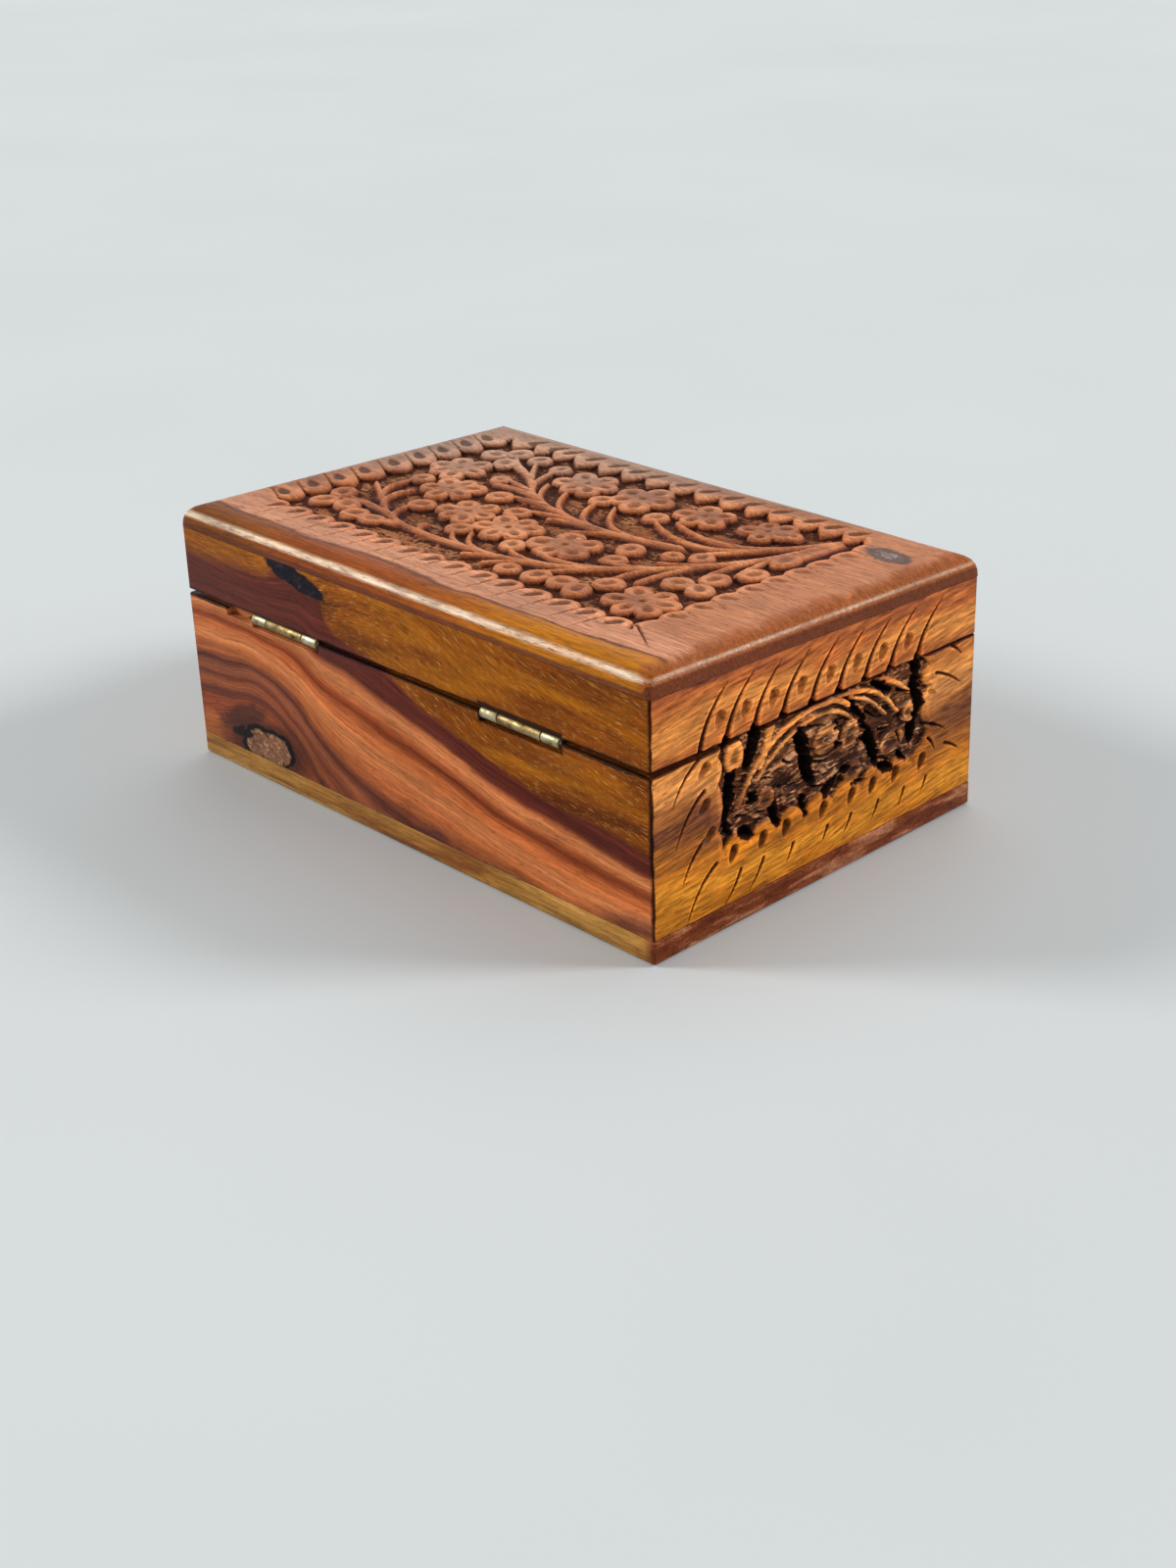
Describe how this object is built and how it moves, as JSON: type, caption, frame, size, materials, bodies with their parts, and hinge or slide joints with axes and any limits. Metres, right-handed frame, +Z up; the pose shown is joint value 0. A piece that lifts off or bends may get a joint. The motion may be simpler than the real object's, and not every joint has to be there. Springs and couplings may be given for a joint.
{
  "type": "carved trinket box",
  "caption": "Rectangular hardwood box with mitred corners, a relief-carved hinged lid and ends, and small brass butt hinges let into its plain back.",
  "frame": {"origin": "on the table under the middle of the box, at the centre of the bottom board's footprint", "axes": "+X along the length, the carved end of the picture facing -X; +Y towards the back, where the hinges are; +Z up"},
  "size_m": [0.152, 0.1006, 0.0623],
  "materials": {
    "carved_wood": "satin hand-rubbed hardwood, rougher in the carved ground",
    "plain_wood": "polished hardwood with heartwood and pale sapwood bands",
    "hinge_brass": "tarnished rolled brass",
    "screw_steel": "plated countersunk screws"
  },
  "bodies": {
    "base": {"bottom_board": "plain_wood", "back_wall": "plain_wood", "front_wall": "carved_wood", "left_end_wall": "carved_wood", "right_end_wall": "carved_wood", "hinge_left_base_leaf": "hinge_brass", "hinge_left_base_screw_1": "screw_steel", "hinge_left_base_screw_2": "screw_steel", "hinge_left_pin": "hinge_brass", "hinge_right_base_leaf": "hinge_brass", "hinge_right_base_screw_1": "screw_steel", "hinge_right_base_screw_2": "screw_steel", "hinge_right_pin": "hinge_brass"},
    "lid": {"lid_top_board": "carved_wood", "lid_back_rail": "plain_wood", "lid_front_rail": "carved_wood", "lid_left_rail": "carved_wood", "lid_right_rail": "carved_wood", "hinge_left_lid_leaf": "hinge_brass", "hinge_left_lid_screw_1": "screw_steel", "hinge_left_lid_screw_2": "screw_steel", "hinge_right_lid_leaf": "hinge_brass", "hinge_right_lid_screw_1": "screw_steel", "hinge_right_lid_screw_2": "screw_steel"}
  },
  "joints": [
    {"name": "lid_hinge", "type": "hinge", "parent": "base", "child": "lid", "pos_m": [0, 0.0492, 0.04065], "axis": [-1, 0, 0], "range_deg": [0, 105]}
  ]
}
